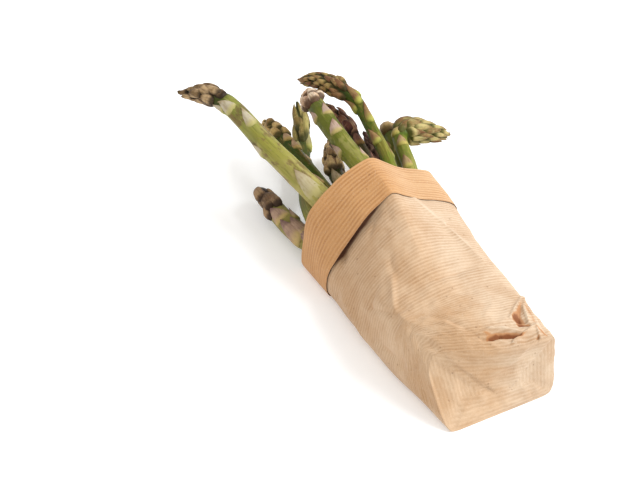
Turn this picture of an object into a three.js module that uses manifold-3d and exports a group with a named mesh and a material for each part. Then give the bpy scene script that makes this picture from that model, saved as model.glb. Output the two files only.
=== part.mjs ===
// A bundle of green asparagus in its paper bag, lying on the bag's flat side.
// Millimetres, +Z up. The origin is the middle of the bag's underside, at table level.
// +X runs from the bag's closed end to the tips.
//
// The bag is one sheet of ribbed paper, closed at one end and folded back on itself at the
// mouth as a cuff. The spears lie loose in it. Each is one solid: a stem cut square at the
// butt, small bracts along it, and a head of overlapping scales round a slim core.

import * as THREE from 'three';
import { mergeVertices } from 'three/addons/utils/BufferGeometryUtils.js';
import Module from 'manifold-3d';

const wasm = await Module();
wasm.setup();

// The bag.
const mouthX = 84;
const closedEndX = -84;
const cuffWidth = 32;
const paper = 0.9;
const cuffGap = 0.7; // between the cuff and the wall that it covers
const cuffMiddle = 14; // from the hem to the ring across the cuff's middle
const wallStations = [-84, -76, -64, -48, -28, -8, 13]; // x of the rings along the bare wall
const drawIn = { x: 38, inset: 1 }; // the ring where the wall draws in to pass under the cuff
const hemMargin = 3; // how far short of the hem it is fully drawn in
const endLean = { fromY: -37, toY: 34, least: 0.16, most: 0.95, power: 2.6 }; // per mm of height
const endSoftness = 56; // length over which the wall starts to lean
const endSizes = [0.8, 0.5, 0.2]; // the rings that the closed end's face is made of
const endDish = 2.5; // how far the middle of the closed end is pressed in
const endPaper = 1.3; // thickness of the closed end along X, where it slants
const pointsPerControl = 3;

// The spears.
const stemSides = 8;
const stemStep = 30; // between rings along a stem
const headRings = 4;
const bractLength = 12;
const bractLift = 1.1; // how far a bract stands out of the stem
const bractWidth = 1.8; // a bract's width, as a share of the stem's neck radius
const edgeDepth = 1.3; // how far the edges of a scale are sunk below its ridge
const widestTurn = 60; // degrees from a scale's ridge to its edges, at most
const edgeRadius = 0.5; // a scale's width is laid round the core this far out
const goldenAngle = 137.5;
const tipRadius = 0.9;
const coreShare = 0.8; // share of the scales' lift that the head's core leaves room for
const neckBlend = 0.25; // share of the head in which the stem turns into the core
const headStart = 2; // how far below the head its scales begin
const tipLength = 0.55; // a scale's length at the tip, as a share of that at the neck
const tipWidth = 0.5; // the same for its width and lift
const scaleRows = [
  { v: 0, width: 0.8, out: 0 },
  { v: 0.35, width: 1, out: 1 },
  { v: 0.78, width: 0.6, out: 0.95 },
];

// Outlines of the bag across X, each from the middle of the underside round by +Y.
// They are the outermost paper: the cuff near the mouth, the bag's own wall elsewhere.
const outlines = [
  {
    x: -84,
    points: [[0, 0], [28, 0], [35, 3.5], [35.5, 18], [31.5, 34.5], [16, 41],
      [0, 42], [-18, 42.5], [-36.5, 42], [-38, 22], [-37, 4.5], [-29, 0]],
  },
  {
    x: -60,
    points: [[0, 0], [30, 0], [38, 4.5], [39, 20], [34.5, 40], [18, 48],
      [2, 49.5], [-18, 48], [-37.5, 43], [-40, 22], [-38, 4.5], [-30, 0]],
  },
  {
    x: -28,
    points: [[0, 0], [34, 0], [42.5, 4.5], [42.5, 22], [38.5, 42], [20, 49],
      [2, 51], [-18, 49.5], [-38.5, 43], [-41, 22], [-39, 4.5], [-31, 0]],
  },
  {
    x: 13,
    points: [[0, 0], [35, 0], [44.5, 5.5], [44, 22], [37, 40.5], [18.5, 54],
      [0, 58.5], [-20.5, 53], [-40.5, 43.5], [-43, 22], [-41, 4.5], [-33, 0]],
  },
  {
    x: 52,
    points: [[0, 0], [36.5, 0], [45.5, 4], [45.5, 20.5], [35, 39], [16.5, 61],
      [-1, 70], [-19, 61], [-45, 46], [-46.5, 23], [-44.5, 4], [-34.5, 0]],
  },
  {
    x: 84,
    points: [[0, 0], [37.5, 0], [47.5, 4.5], [46, 27.5], [40.5, 50], [21.5, 67],
      [-2, 74.5], [-23, 63], [-44, 51], [-46.5, 26], [-44.5, 4], [-34.5, 0]],
  },
];

// Each route runs from the cut end to the tip. A bract is [distance below the head, angle],
// and an angle is measured round the stem from the top, positive towards -Y.
const spears = [
  {
    name: 'spear_01',
    route: [[-44, 17, 32.5], [0, 15.5, 33.5], [52, 18.5, 36], [84, 26, 43], [117, 34, 50],
      [144, 40, 55], [184, 47, 62], [196, 51, 63], [210, 59, 62], [225, 72, 58]],
    buttRadius: 8.8,
    neckRadius: 6.2,
    head: { length: 36, radius: 6.8, scales: 14, scaleLength: 10, scaleWidth: 4.4, lift: 1.7 },
    bracts: [[5, -50], [8, 75], [28, 60], [48, -95], [74, 0]],
    colour: 0xa3ad58,
  },
  {
    name: 'spear_02',
    route: [[-56, 3, 20.5], [0, 3, 20.5], [52, 8, 22], [84, 13, 27], [141, 17, 33],
      [160, 18, 34.5], [180, 18, 34], [204, 17, 29]],
    buttRadius: 7,
    neckRadius: 6,
    head: { length: 30, radius: 7, scales: 13, scaleLength: 10, scaleWidth: 4.6, lift: 1.6 },
    bracts: [[3, 60], [16, -100], [34, 80], [60, -20]],
    colour: 0x4c6b26,
  },
  {
    name: 'spear_03',
    route: [[-40, 30.5, 26], [0, 32.5, 27], [52, 29.5, 25.6], [84, 33.5, 26.8], [117, 26, 21],
      [158, 8, 14], [188, -6, 15], [209, -14, 18], [223, -18, 25]],
    buttRadius: 5.8,
    neckRadius: 4.5,
    head: { length: 44, radius: 6, scales: 11, scaleLength: 19, scaleWidth: 3.4, lift: 2.2 },
    bracts: [[6, 60], [24, -60], [50, 140]],
    colour: 0x7f9148,
  },
  {
    name: 'spear_04',
    route: [[-52, -5, 34.5], [0, -2, 42], [52, -2, 52], [84, -1, 60], [115, 0, 63],
      [138, 0, 66], [155, -1, 67], [175, -6, 59], [191, -12, 48]],
    buttRadius: 7.7,
    neckRadius: 6.2,
    head: { length: 34, radius: 7.2, scales: 14, scaleLength: 10, scaleWidth: 4.6, lift: 1.8 },
    bracts: [[4, -80], [8, 60], [20, 30], [38, -110], [62, 20]],
    colour: 0x7b9640,
  },
  {
    name: 'spear_05',
    route: [[-60, -11, 22], [0, -12, 29], [84, -14, 40], [126, -19, 45], [145, -20, 49],
      [160, -19, 51], [174, -15, 53]],
    buttRadius: 5.3,
    neckRadius: 4.2,
    head: { length: 38, radius: 5.2, scales: 14, scaleLength: 9, scaleWidth: 3.6, lift: 1.5 },
    bracts: [[5, 70], [14, -50], [28, 100]],
    colour: 0x6a4a3f,
  },
  {
    name: 'spear_06',
    route: [[-52, -18, 35.5], [0, -18, 42], [52, -18, 47.5], [84, -20, 53], [104, -24, 57],
      [128, -26, 62], [147, -28, 66], [158, -25, 68], [175, -22, 66], [190, -17, 62],
      [202, -9, 56]],
    buttRadius: 4.8,
    neckRadius: 4,
    head: { length: 46, radius: 6, scales: 17, scaleLength: 9, scaleWidth: 3.8, lift: 1.6 },
    bracts: [[3, -90], [9, 70], [15, -80], [22, 75], [42, -60]],
    colour: 0x6f8a38,
  },
  {
    name: 'spear_07',
    route: [[-66, -23, 22], [0, -24, 25], [84, -24.5, 31], [124, -31, 34], [137, -32, 37],
      [151, -33, 40]],
    buttRadius: 5.2,
    neckRadius: 4.3,
    head: { length: 34, radius: 5, scales: 12, scaleLength: 10, scaleWidth: 3.8, lift: 1.6 },
    bracts: [[6, -40], [18, 110]],
    colour: 0x5a3f38,
  },
  {
    name: 'spear_08',
    route: [[-62, -26.5, 8], [0, -28, 10], [52, -32, 14], [84, -36, 26.5], [112, -45, 30],
      [128, -49, 32], [137, -50, 34], [146, -51.5, 34], [154, -55.5, 29.5], [161, -60, 22]],
    buttRadius: 5.5,
    neckRadius: 4.6,
    head: { length: 23, radius: 5.4, scales: 11, scaleLength: 9, scaleWidth: 4, lift: 1.4 },
    bracts: [[3, -30], [14, -100], [36, 10]],
    colour: 0x789243,
  },
  {
    name: 'spear_09',
    route: [[-60, -29, 34], [0, -30.5, 36], [52, -33, 38], [84, -36.5, 40], [105, -43, 41],
      [124, -48, 43], [131, -52.5, 44.5], [134, -59.5, 45], [132.5, -68, 43], [130, -79.5, 39],
      [128, -91, 32]],
    buttRadius: 5.3,
    neckRadius: 4.7,
    head: { length: 42, radius: 8.4, scales: 17, scaleLength: 13, scaleWidth: 5.4, lift: 2.4 },
    bracts: [[2, -50], [12, 0], [36, -30]],
    colour: 0x84934d,
  },
  {
    name: 'spear_10',
    route: [[-64, -8.5, 8.5], [0, -8, 10], [84, -4, 22], [124, -2, 25], [140, -5, 27],
      [165, -14, 28]],
    buttRadius: 6.5,
    neckRadius: 5.4,
    head: { length: 34, radius: 6.8, scales: 13, scaleLength: 10, scaleWidth: 4.6, lift: 2 },
    bracts: [[4, -60], [14, 90]],
    colour: 0x53602f,
  },
  {
    name: 'spear_11',
    route: [[-60, 26.5, 10], [0, 29, 10.4], [52, 31, 11.4], [84, 34, 11.6], [100, 39, 11.5],
      [119, 42, 12], [157, 45, 14]],
    buttRadius: 8.5,
    neckRadius: 7.2,
    head: { length: 26, radius: 7.6, scales: 11, scaleLength: 11, scaleWidth: 5.6, lift: 1.8 },
    bracts: [[3, -20], [11, 60], [22, -70]],
    colour: 0x9a8a5c,
  },
  {
    name: 'spear_12',
    route: [[-60, 9.5, 7.5], [0, 10, 7.6], [52, 9.5, 8.8], [84, 8, 9.2], [130, -7, 10],
      [178, -24, 12]],
    buttRadius: 5.8,
    neckRadius: 4.8,
    head: { length: 36, radius: 5.8, scales: 13, scaleLength: 10, scaleWidth: 4, lift: 1.5 },
    bracts: [[6, 30], [22, -100], [46, 80]],
    colour: 0x6b8240,
  },
];

const bundle = new THREE.Group();

function mix(a, b, t) {
  return a + (b - a) * t;
}

// Covers a list of rings, all with the same number of points. Both ends close on the middle
// of their ring, or the last one on a given tip.
function skin(rings, tip) {
  const count = rings[0].length;
  const positions = rings.flat().flatMap((point) => point.toArray());
  const triangles = [];
  for (let ring = 0; ring < rings.length - 1; ring += 1) {
    for (let i = 0; i < count; i += 1) {
      const here = ring * count + i;
      const next = ring * count + ((i + 1) % count);
      triangles.push(here, next, here + count, next, next + count, here + count);
    }
  }
  for (const [ring, turned] of [[0, true], [rings.length - 1, false]]) {
    const middle = new THREE.Vector3();
    rings[ring].forEach((point) => middle.addScaledVector(point, 1 / count));
    if (tip && !turned) {
      middle.copy(tip);
    }
    const pole = positions.push(...middle.toArray()) / 3 - 1;
    for (let i = 0; i < count; i += 1) {
      const here = ring * count + i;
      const next = ring * count + ((i + 1) % count);
      triangles.push(...(turned ? [next, here, pole] : [here, next, pole]));
    }
  }
  const geometry = new THREE.BufferGeometry();
  geometry.setAttribute('position', new THREE.Float32BufferAttribute(positions, 3));
  geometry.setIndex(triangles);
  return pointOutwards(geometry);
}

// Turns every face round where the volume comes out negative.
function pointOutwards(geometry) {
  const index = geometry.index.array;
  const corner = [0, 1, 2].map(() => new THREE.Vector3());
  let volume = 0;
  for (let i = 0; i < index.length; i += 3) {
    corner.forEach((point, k) => point.fromBufferAttribute(geometry.attributes.position, index[i + k]));
    volume += corner[0].dot(corner[1].cross(corner[2]));
  }
  if (volume < 0) {
    geometry.setIndex(Array.from(index).reverse());
  }
  return geometry;
}

function toSolid(geometry) {
  const merged = mergeVertices(geometry);
  const vertProperties = new Float32Array(merged.attributes.position.array);
  const triVerts = new Uint32Array(merged.index.array);
  return new wasm.Manifold(new wasm.Mesh({ numProp: 3, vertProperties, triVerts }));
}

// Fills the small hollows that scales close off between them, and drops loose scraps.
function largestShell(solid) {
  return solid.decompose().reduce((best, shell) => (shell.volume() > best.volume() ? shell : best));
}

function toGeometry(solid) {
  const mesh = solid.getMesh();
  const geometry = new THREE.BufferGeometry();
  geometry.setAttribute('position', new THREE.Float32BufferAttribute(mesh.vertProperties, 3));
  geometry.setIndex(Array.from(mesh.triVerts));
  return geometry;
}

function addPiece(name, geometry, colour, roughness) {
  const material = new THREE.MeshStandardMaterial({ color: colour, roughness, metalness: 0 });
  const piece = new THREE.Mesh(geometry, material);
  piece.name = name;
  bundle.add(piece);
}

// The bag's outline at x: the control points are carried in straight lines between outlines.
function outlineAt(x) {
  const last = outlines.length - 1;
  const upper = Math.min(last, Math.max(1, outlines.findIndex((outline) => outline.x >= x)));
  const before = outlines[upper - 1];
  const after = outlines[upper];
  const t = (x - before.x) / (after.x - before.x);
  const controls = before.points.map(([y, z], i) => new THREE.Vector3(
    0,
    mix(y, after.points[i][0], t),
    mix(z, after.points[i][1], t),
  ));
  return new THREE.CatmullRomCurve3(controls, true, 'catmullrom', 0.5);
}

// How far the closed end leans towards the mouth at y, for each mm of height. The lean grows
// towards +Y, where the end's upper corner is pressed down into a sloping facet.
function leanAt(y) {
  const t = THREE.MathUtils.clamp((y - endLean.fromY) / (endLean.toY - endLean.fromY), 0, 1);
  return mix(endLean.least, endLean.most, t ** endLean.power);
}

// One ring of the bag: the outline at x, moved inwards square to itself, then drawn in
// towards its middle to a share of its size.
function bagRing(x, inset, size = 1) {
  const curve = outlineAt(x);
  const total = curve.points.length * pointsPerControl;
  const soft = Math.max(0, 1 - (x - closedEndX) / endSoftness);
  const ring = Array.from({ length: total }, (_, i) => {
    const point = curve.getPoint(i / total);
    const along = curve.getTangent(i / total);
    point.y -= along.z * inset;
    point.z = Math.max(inset, point.z + along.y * inset);
    return point;
  });
  const middle = new THREE.Vector3();
  ring.forEach((point) => middle.addScaledVector(point, 1 / total));
  return ring.map((point) => {
    point.lerp(middle, 1 - size);
    point.x = x + leanAt(point.y) * soft * point.z;
    return point;
  });
}

// The closed end's rings, from its edge to near its middle, which is pressed in a little.
function endRings(x, inset) {
  return endSizes.map((size) => {
    const ring = bagRing(x, inset, size);
    ring.forEach((point) => point.setX(point.x + endDish * (1 - size)));
    return ring;
  });
}

// The sheet is followed from the outside of the closed end to the mouth, round the cuff,
// and back along the inside.
function paperBag() {
  const covered = paper + cuffGap;
  const hemX = mouthX - cuffWidth;
  const foldX = mouthX - paper;
  const wall = [...wallStations.map((x) => [x, 0]), [drawIn.x, drawIn.inset]];
  const underCuff = [hemX - hemMargin, hemX + cuffMiddle, foldX - cuffGap];
  const rings = [
    ...endRings(closedEndX, 0).reverse(),
    ...wall.map(([x, inset]) => bagRing(x, inset)),
    ...underCuff.map((x) => bagRing(x, covered)),
    ...[foldX - cuffGap, hemX + cuffMiddle, hemX].map((x) => bagRing(x, paper)),
    ...[hemX, hemX + cuffMiddle, foldX].map((x) => bagRing(x, 0)),
    bagRing(mouthX, (covered + paper) / 2),
    ...underCuff.map((x) => bagRing(x, covered + paper)).reverse(),
    ...wall.slice(1).map(([x, inset]) => bagRing(x, inset + paper)).reverse(),
    bagRing(closedEndX + endPaper, paper),
    ...endRings(closedEndX + endPaper, paper),
  ];
  return skin(rings);
}

// A spear's own coordinates: along the route, round it and out from its surface.
function spearSpace({ route, buttRadius, neckRadius, head }) {
  const curve = new THREE.CatmullRomCurve3(
    route.map((point) => new THREE.Vector3(...point)),
    false,
    'catmullrom',
    0.5,
  );
  const length = curve.getLength();
  const stemLength = length - head.length;
  const up = new THREE.Vector3(0, 0, 1);

  function radius(s) {
    const stem = mix(buttRadius, neckRadius, Math.min(1, s / stemLength) ** 2);
    const t = THREE.MathUtils.clamp((s - stemLength) / head.length, 0, 1);
    const full = head.radius - head.lift * coreShare;
    const core = Math.max(tipRadius, full * (1 - t ** 1.8) ** 0.9);
    return mix(stem, core, THREE.MathUtils.smoothstep(t, 0, neckBlend));
  }

  function place(s, degrees, out) {
    const u = THREE.MathUtils.clamp(s / length, 0, 1);
    const along = curve.getTangentAt(u);
    const across = up.clone().addScaledVector(along, -up.dot(along)).normalize();
    const side = new THREE.Vector3().crossVectors(along, across);
    const angle = THREE.MathUtils.degToRad(degrees);
    const reach = Math.max(0, radius(s) + out);
    return curve.getPointAt(u)
      .addScaledVector(along, s - u * length)
      .addScaledVector(across, reach * Math.cos(angle))
      .addScaledVector(side, reach * Math.sin(angle));
  }

  return { length, stemLength, radius, place };
}

function spearBody(space, headLength) {
  const steps = Math.round(space.stemLength / stemStep);
  const stations = [];
  for (let i = 0; i <= steps; i += 1) {
    stations.push((space.stemLength * i) / steps);
  }
  for (let i = 1; i <= headRings; i += 1) {
    stations.push(space.stemLength + (headLength * i) / headRings);
  }
  return skin(stations.map((s) => Array.from(
    { length: stemSides },
    (_, i) => space.place(s, (360 * i) / stemSides, 0),
  )));
}

// A pointed scale, ridged along its middle, with its root and edges sunk in what it grows from.
function scale(space, start, degrees, length, halfWidth, lift) {
  const rings = scaleRows.map(({ v, width, out }) => {
    const s = start + length * v;
    const around = (halfWidth * width) / (space.radius(s) + edgeRadius);
    const turn = Math.min(widestTurn, THREE.MathUtils.radToDeg(around));
    return [
      space.place(s, degrees - turn, lift * out - edgeDepth),
      space.place(s, degrees, lift * out),
      space.place(s, degrees + turn, lift * out - edgeDepth),
    ];
  });
  return skin(rings, space.place(start + length, degrees, lift * 0.5));
}

function headScales(space, head) {
  const scales = [];
  for (let i = 0; i < head.scales; i += 1) {
    const t = (i + 0.2) / head.scales;
    const length = head.scaleLength * mix(1, tipLength, t);
    const along = (head.length + headStart) * t ** 0.9 - length * t;
    const start = space.stemLength - headStart + along;
    const halfWidth = head.scaleWidth * mix(1, tipWidth, t);
    const lift = head.lift * mix(1, tipWidth, t);
    scales.push(scale(space, start, i * goldenAngle, length, halfWidth, lift));
  }
  return scales;
}

function spear(settings) {
  const space = spearSpace(settings);
  const pieces = headScales(space, settings.head);
  const bractHalf = (settings.neckRadius * bractWidth) / 2;
  for (const [below, degrees] of settings.bracts) {
    const start = space.stemLength - below;
    pieces.push(scale(space, start, degrees, bractLength, bractHalf, bractLift));
  }
  const fused = pieces.reduce(
    (solid, piece) => solid.add(toSolid(piece)),
    toSolid(spearBody(space, settings.head.length)),
  );
  return toGeometry(largestShell(fused));
}

addPiece('paper_bag', paperBag(), 0xc79a68, 0.85);
for (const settings of spears) {
  addPiece(settings.name, spear(settings), settings.colour, 0.5);
}

export default bundle;
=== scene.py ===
# Asparagus spears in a ribbed paper bag, lying on a pale floor. Lengths below are in mm.
import math

import bpy
import numpy as np
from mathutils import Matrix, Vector


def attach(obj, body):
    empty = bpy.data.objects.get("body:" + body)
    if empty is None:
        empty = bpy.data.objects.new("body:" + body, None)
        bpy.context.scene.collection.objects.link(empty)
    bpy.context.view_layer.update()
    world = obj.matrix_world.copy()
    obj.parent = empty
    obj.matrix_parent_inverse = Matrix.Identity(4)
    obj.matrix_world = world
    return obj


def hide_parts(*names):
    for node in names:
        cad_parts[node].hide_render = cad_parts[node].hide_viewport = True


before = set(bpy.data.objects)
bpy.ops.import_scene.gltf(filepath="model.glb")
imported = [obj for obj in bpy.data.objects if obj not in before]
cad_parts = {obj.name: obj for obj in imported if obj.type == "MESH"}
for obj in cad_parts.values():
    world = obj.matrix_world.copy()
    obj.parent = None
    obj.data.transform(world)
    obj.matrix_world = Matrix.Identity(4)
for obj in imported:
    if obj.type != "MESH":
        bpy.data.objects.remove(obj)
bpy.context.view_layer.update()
mm = 0.001


def mix(a, b, t):
    # a where t is 0, b where t is 1, and in proportion between them
    return a + (b - a) * t


def ease(low, high, value):
    # 0 below low and 1 above high, with a smooth S between them
    t = np.clip((value - low) / (high - low), 0.0, 1.0)
    return t * t * (3.0 - 2.0 * t)


def bell(*offsets):
    # e to the power of minus the sum of squares: 1 in the middle, fading all round it
    return np.exp(-sum(offset ** 2 for offset in offsets))


def unit(vectors):
    # each vector over its own length
    return vectors / np.maximum(np.linalg.norm(vectors, axis=-1, keepdims=True), 1e-12)


def join(*arrays):
    # the arrays one after another
    return np.concatenate(arrays)


def together(*coordinates):
    # the coordinates, spread to one shape, side by side in a new last axis
    return np.stack(np.broadcast_arrays(*coordinates), axis=-1)


def distanceAlong(places):
    # the sum of the steps from the first place to each one
    return join([0], np.cumsum(np.linalg.norm(np.diff(places, axis=0), axis=1)))


def unrolled(reach, angle, along):
    # a straight tube: reach times the angle's cosine and sine, and the distance along it
    return together(reach * np.cos(angle), reach * np.sin(angle), along).reshape(-1, 3)


def cubic(p0, p1, p2, p3, t):
    # the Catmull-Rom cubic from p1 to p2, and its slope
    a, b, c = p2 - p0, 2 * p0 - 5 * p1 + 4 * p2 - p3, 3 * p1 - p0 - 3 * p2 + p3
    place = 0.5 * (2 * p1 + a * t + b * t ** 2 + c * t ** 3)
    return place, 0.5 * (a + 2 * b * t + 3 * c * t ** 2)


def softNoise(x, y, seed):
    # gradient noise: random slopes at whole numbers, blended smoothly between them
    cells = 64  # it repeats after these
    slopes = np.random.default_rng(seed).normal(size=(cells, cells, 2))
    xi, yi = np.floor(x).astype(int), np.floor(y).astype(int)
    xf, yf = x - xi, y - yi
    total = 0.0
    for dx in (0, 1):
        for dy in (0, 1):
            slope = slopes[(xi + dx) % cells, (yi + dy) % cells]
            value = slope[..., 0] * (xf - dx) + slope[..., 1] * (yf - dy)
            wx = ease(0, 1, xf) if dx else 1 - ease(0, 1, xf)
            wy = ease(0, 1, yf) if dy else 1 - ease(0, 1, yf)
            total = total + value * wx * wy
    return total


def gridFaces(rows, columns):
    # the squares between neighbouring rings of a grid that closes round its columns
    r, c = np.meshgrid(np.arange(rows - 1), np.arange(columns), indexing="ij")
    here, beside = r * columns + c, r * columns + (c + 1) % columns
    return together(here, beside, beside + columns, here + columns).reshape(-1, 4)


def tubeFaces(rings, columns):
    # the squares, and a fan of triangles from each end ring to its pole; the two poles are the
    # points that follow the last ring
    count = rings * columns
    first, last = np.arange(columns), np.arange(count - columns, count)
    fans = [together(np.roll(first, -1), first, count),
            together(last, np.roll(last, -1), count + 1)]
    return gridFaces(rings, columns), join(*fans)


def addObject(name, data, place=None, target=None):
    # a light or camera stands at its place and looks along the line to its target
    thing = bpy.data.objects.new(name, data)
    if place:
        thing.location = place
        view = Vector(target) - Vector(place)
        thing.rotation_euler = view.to_track_quat("-Z", "Y").to_euler()
    bpy.context.scene.collection.objects.link(thing)
    return thing


def makePiece(name, points, quads, triangles, materials, layers, materialIndex=None):
    # points in mm; layers are named values, one or three for each point
    mesh = bpy.data.meshes.new(name)
    quads, triangles = np.asarray(quads, int), np.asarray(triangles, int)
    corners = join(quads.ravel(), triangles.ravel())
    sizes = join(np.full(len(quads), 4), np.full(len(triangles), 3))
    mesh.vertices.add(len(points))
    mesh.vertices.foreach_set("co", (points * mm).astype(np.float32).ravel())
    mesh.loops.add(len(corners))
    mesh.loops.foreach_set("vertex_index", corners.astype(np.int32))
    mesh.polygons.add(len(sizes))
    mesh.polygons.foreach_set("loop_start", (np.cumsum(sizes) - sizes).astype(np.int32))
    mesh.polygons.foreach_set("loop_total", sizes.astype(np.int32))
    mesh.polygons.foreach_set("use_smooth", np.ones(len(sizes), bool))
    if materialIndex is not None:
        mesh.polygons.foreach_set("material_index", materialIndex.astype(np.int32))
    for material in materials:
        mesh.materials.append(material)
    for layer, values in layers.items():
        kind, field = ("FLOAT_VECTOR", "vector") if values.ndim == 2 else ("FLOAT", "value")
        attribute = mesh.attributes.new(layer, kind, "POINT")
        attribute.data.foreach_set(field, values.astype(np.float32).ravel())
    mesh.update(calc_edges=True)
    mesh.validate()
    return addObject(name, mesh)


class Value:
    # one socket of a material, so that sums of sockets are written as sums
    def __init__(self, graph, socket):
        self.graph, self.socket = graph, socket

    def __add__(self, other): return self.graph.maths("ADD", self, other)
    def __radd__(self, other): return self.graph.maths("ADD", other, self)
    def __sub__(self, other): return self.graph.maths("SUBTRACT", self, other)
    def __rsub__(self, other): return self.graph.maths("SUBTRACT", other, self)
    def __mul__(self, other): return self.graph.maths("MULTIPLY", self, other)
    def __rmul__(self, other): return self.graph.maths("MULTIPLY", other, self)
    def __abs__(self): return self.graph.maths("ABSOLUTE", self)


class Graph:
    # a new material with one Principled shader, and the calls that add nodes to it
    def __init__(self, name):
        self.material = bpy.data.materials.new(name)
        self.material.use_nodes = True
        self.tree = self.material.node_tree
        self.shader = next(n for n in self.tree.nodes if n.type == "BSDF_PRINCIPLED")

    def node(self, kind, settings=None, inputs=None, output=0):
        # one node: its settings first, then the values or links of its sockets
        node = self.tree.nodes.new("ShaderNode" + kind)
        for key, setting in (settings or {}).items():
            setattr(node, key, setting)
        for key, value in (inputs or {}).items():
            self.fill(node.inputs[key], value)
        return Value(self, node.outputs[output])

    def fill(self, socket, value):
        # a link, or a constant, with full alpha where a colour has only three numbers
        if isinstance(value, Value):
            self.tree.links.new(value.socket, socket)
        elif isinstance(value, tuple) and len(value) == 3 and len(socket.default_value) == 4:
            socket.default_value = (*value, 1.0)
        else:
            socket.default_value = value

    def maths(self, operation, first, second=0.0):
        # one Math node, for values only
        return self.node("Math", {"operation": operation}, {0: first, 1: second})

    def between(self, value, low, high, toLow=0.0, toHigh=1.0):
        # carries the range low to high smoothly onto toLow to toHigh
        return self.node("MapRange", {"interpolation_type": "SMOOTHSTEP"},
                         {0: value, 1: low, 2: high, 3: toLow, 4: toHigh})

    def blend(self, first, second, factor):
        # colours, in sockets 6 and 7 of Mix
        return self.node("Mix", {"data_type": "RGBA"}, {0: factor, 6: first, 7: second}, output=2)

    def over(self, colour, *coats):
        # coats of (colour, how much of it), each blended over what is there
        for coat, factor in coats:
            colour = self.blend(colour, coat, factor)
        return colour

    def vector(self, name):
        # a layer of the mesh with three values for each point
        return self.node("Attribute", {"attribute_name": name}, output=1)

    def numbers(self, *names):
        # layers with one value for each point
        return [self.node("Attribute", {"attribute_name": name}, output=2) for name in names]

    def place(self):
        # Object coordinates
        return self.node("TexCoord", output=3)

    def parts(self, vector):
        # x, y and z
        split = self.node("SeparateXYZ", {}, {0: vector}).socket.node
        return [Value(self, socket) for socket in split.outputs]

    def noise(self, vector, scale, detail=2.0, roughness=0.5, along=None):
        # along: how much finer than across it the noise is along the piece
        if along:
            vector = self.node("Mapping", {}, {"Vector": vector, "Scale": (1.0, 1.0, along)})
        return self.node("TexNoise", {}, {"Vector": vector, "Scale": scale, "Detail": detail,
                                          "Roughness": roughness})

    def finish(self, colour, roughness, constants, relief=None):
        # relief: a height, its strength, and its distance in metres
        inputs = {**constants, "Base Color": colour, "Roughness": roughness}
        if relief:
            bump = dict(zip(("Height", "Strength", "Distance"), relief))
            inputs["Normal"] = self.node("Bump", {}, bump)
        for key, value in inputs.items():
            self.fill(self.shader.inputs[key], value)
        return self.material


def fromHex(text, dim=0.8):
    # a screen colour with the sRGB curve undone, as the nodes use it, and dimmed for the
    # studio's bright light
    parts = [int(text[i:i + 2], 16) / 255 for i in (1, 3, 5)]
    return tuple(dim * (c / 12.92 if c <= 0.04045 else ((c + 0.055) / 1.055) ** 2.4) for c in parts)


paper = {
    "thickness": 0.35,
    "gap": (0.5, 0.25),  # between the cuff and the wall, at the hem and at the rim
    "columns": 280,
    "rows": {"crushed": 52, "body": 104, "mouth": 32, "under": 22, "cuff": 36, "inner": 40},
    "rowEnds": (-60, -59.2, 44, 45),  # x: crushed to, body from and to, mouth from
    "crowding": (1.3, -20, 26),  # extra columns: how many more, where round it, reach
    "ringX": 13,  # where the distance round the bag is measured
    "closedX": -84,
    "mouthX": 83.4,
    "mouthCut": 5.5,  # how much shorter the mouth is towards -Y
    "mouthDip": 0.8,
    "mouthReach": [(20, 80), (30, 50)],  # from x to x, where the mouth's shift grows
    "rim": 0.6,  # how far the rim's bend reaches past its edges
    "hemX": 50.5,
    "hemDrop": 2.2,
    "hemLift": 1.7,  # how far the cuff stands off along part of its hem
    "stepIn": (20, 47),  # from x to x, where the wall steps in to pass under the cuff
    "cuffTakes": (56, 76),  # from x to x, where the wall takes on the cuff's relief
    "innerFree": (58, 66),  # from x to x, where the inner face has room to follow the outer
    "crumple": (15, 5),  # size and seed, here and in the next two
    "fineCrumple": (7, 8),
    "endCrumple": (13, 21),
    "crush": (0.6, 1.5, -28, -72),  # crumpling: least, most, and from x to x
    "waves": 0.6,
    "mostRelief": (3.4, 2.2),  # of the wall and of the cuff, outwards
    "floorFade": (0.5, 9),  # from z to z, where the relief grows from nothing
    "nick": (-82.5, 1.4, -31.8, 1.5, 1.8),  # as wallHollows
    "endLean": (-37, 34, 0.16, 0.95, 2.6),  # from y, to y, least, most, power
    "endSoftness": 56,  # how far from the closed end the lean fades out
    "endDish": 2,
    "endCrumpling": 1.2,
    "endRun": 32,  # how far the sheet's ribs run from the end's edge to its middle
    "endSize": (42.5, 36.5, -1),  # the end face's top, half width and middle
    "innerEnd": 2.6,  # from the outer end face to the inner one
    "flapEdge": 14,  # height of the upper flap's edge on the end face
    "flapSlope": 0.05,
    "flapLift": (0.9, 0.5),  # of the upper and of the lower flap
}

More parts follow.
